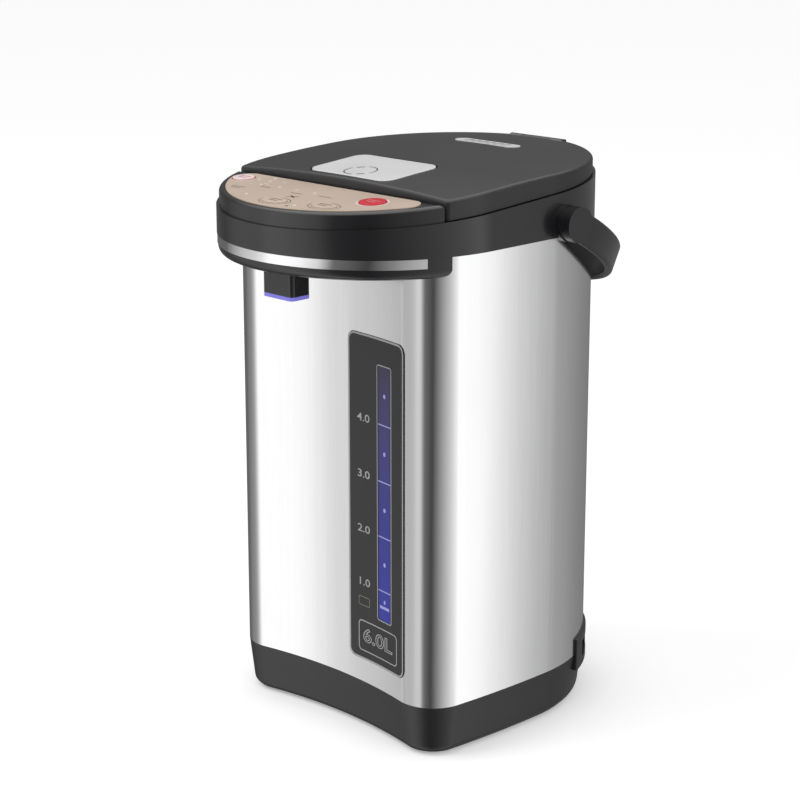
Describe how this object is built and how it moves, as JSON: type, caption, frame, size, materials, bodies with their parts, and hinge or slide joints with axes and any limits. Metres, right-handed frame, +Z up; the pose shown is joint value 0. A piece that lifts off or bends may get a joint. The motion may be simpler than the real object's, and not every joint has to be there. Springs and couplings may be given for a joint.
{
  "type": "electric thermo pot",
  "caption": "Counter-top electric hot water pot: steel body, hinged lid with release plate, sloping button panel, water level window, overhanging nose with spout, swinging handle.",
  "frame": {"origin": "on the table, on the axis of the round rear half of the body", "axes": "+Z up, -Y the front with the spout and the buttons, +X the user's right"},
  "size_m": [0.2362, 0.2924, 0.3907],
  "materials": {
    "black_gloss": "gloss",
    "black_plastic": "satin",
    "steel_brushed": "vertical brushed",
    "steel_plain": "plain",
    "chrome": "bright",
    "silver_plastic": "satin",
    "window_violet": "gloss",
    "lens_blue": "clear",
    "channel_blue": "gloss",
    "tube_clear": "clear",
    "glow_blue": "frosted",
    "insert_beige": "satin",
    "button_pale": "satin",
    "button_red": "satin",
    "button_dark": "satin",
    "lens_white": "frosted",
    "silicone": "matte",
    "foot_rubber": "matte",
    "foam": "felt",
    "board": "satin",
    "part_white": "satin",
    "part_dark": "matte",
    "aluminium": "plain",
    "brass": "plain"
  },
  "bodies": {
    "pot_body": {"base_housing": "black_plastic", "base_plate": "black_plastic", "foot_ring": "foot_rubber", "base_screws": "steel_plain", "steel_shell": "steel_brushed", "level_panel": "window_violet", "level_lens": "lens_blue", "tube_channel": "channel_blue", "level_tube": "tube_clear", "inner_pot": "steel_plain", "outlet_filter": "steel_plain", "rim_support": "black_plastic", "insulation_sleeve": "foam", "pot_seal": "silicone", "heater_plate": "aluminium", "heater_element": "steel_plain", "thermostats": "part_dark", "temperature_sensor": "steel_plain", "pump_housing": "part_white", "pump_motor": "steel_plain", "intake_hose": "silicone", "riser_hose": "silicone", "outlet_hose": "silicone", "power_board": "board", "relay": "part_dark", "power_inlet": "black_plastic", "inlet_pins": "brass", "collar": "black_gloss", "nose_lip": "black_gloss", "chrome_strip": "chrome", "spout": "black_gloss", "spout_ring": "glow_blue", "nozzle": "part_white", "panel_housing": "black_gloss", "control_insert": "insert_beige", "indicator_lenses": "lens_white", "control_board": "board", "key_switches": "part_dark", "latch_keeper": "steel_plain", "hinge_pin": "steel_plain", "handle_pins": "steel_plain", "pivot_washers": "black_plastic"},
    "lid": {"lid_cover": "black_gloss", "lid_liner": "black_plastic", "lid_screws": "steel_plain", "inner_lid": "steel_plain", "lid_gasket": "silicone", "steam_duct": "silicone", "steam_vent": "silver_plastic", "lever_pin": "steel_plain", "lever_spring": "steel_plain"},
    "release_lever_body": {"release_lever": "silver_plastic"},
    "latch_bolt_body": {"latch_bolt": "part_dark"},
    "handle_body": {"handle": "black_gloss"},
    "pump_rotor_body": {"pump_rotor": "part_white"},
    "dispense_button_body": {"dispense_button": "button_red"},
    "unlock_button_body": {"unlock_button": "button_pale"},
    "reboil_button_body": {"reboil_button": "button_dark"},
    "temperature_button_body": {"temperature_button": "button_dark"}
  },
  "joints": [
    {"name": "lid_hinge", "type": "hinge", "parent": "pot_body", "child": "lid", "pos_m": [0, 0.1014, 0.385], "axis": [-1, 0, 0], "range_deg": [0, 75]},
    {"name": "lever_rock", "type": "hinge", "parent": "lid", "child": "release_lever_body", "pos_m": [0, -0.0439, 0.38261], "axis": [1, 0, 0], "range_deg": [0, 4.9], "stiffness_Nm_per_rad": 0.8, "springref_deg": -3.44},
    {"name": "bolt_slide", "type": "slide", "parent": "lid", "child": "latch_bolt_body", "axis": [0, 0.9976, 0.0688], "range_m": [0, 0.0042]},
    {"name": "handle_swing", "type": "hinge", "parent": "pot_body", "child": "handle_body", "pos_m": [0, 0.011, 0.3519], "axis": [1, 0, 0], "range_deg": [0, 118]},
    {"name": "pump_spin", "type": "hinge", "parent": "pot_body", "child": "pump_rotor_body", "pos_m": [0.051, -0.05111, 0.0414], "axis": [0, 0, 1], "continuous": true},
    {"name": "dispense_press", "type": "slide", "parent": "pot_body", "child": "dispense_button_body", "axis": [0, 0.0688, -0.9976], "range_m": [0, 0.0008], "stiffness_N_per_m": 600, "springref_m": -0.002},
    {"name": "unlock_press", "type": "slide", "parent": "pot_body", "child": "unlock_button_body", "axis": [0, 0.0688, -0.9976], "range_m": [0, 0.0008], "stiffness_N_per_m": 600, "springref_m": -0.002},
    {"name": "reboil_press", "type": "slide", "parent": "pot_body", "child": "reboil_button_body", "axis": [0, 0.0688, -0.9976], "range_m": [0, 0.0008], "stiffness_N_per_m": 600, "springref_m": -0.002},
    {"name": "temperature_press", "type": "slide", "parent": "pot_body", "child": "temperature_button_body", "axis": [0, 0.0688, -0.9976], "range_m": [0, 0.0008], "stiffness_N_per_m": 600, "springref_m": -0.002}
  ],
  "couplings": [
    {"joint": "bolt_slide", "follows": "lever_rock", "m_per_rad": 0.048994}
  ]
}
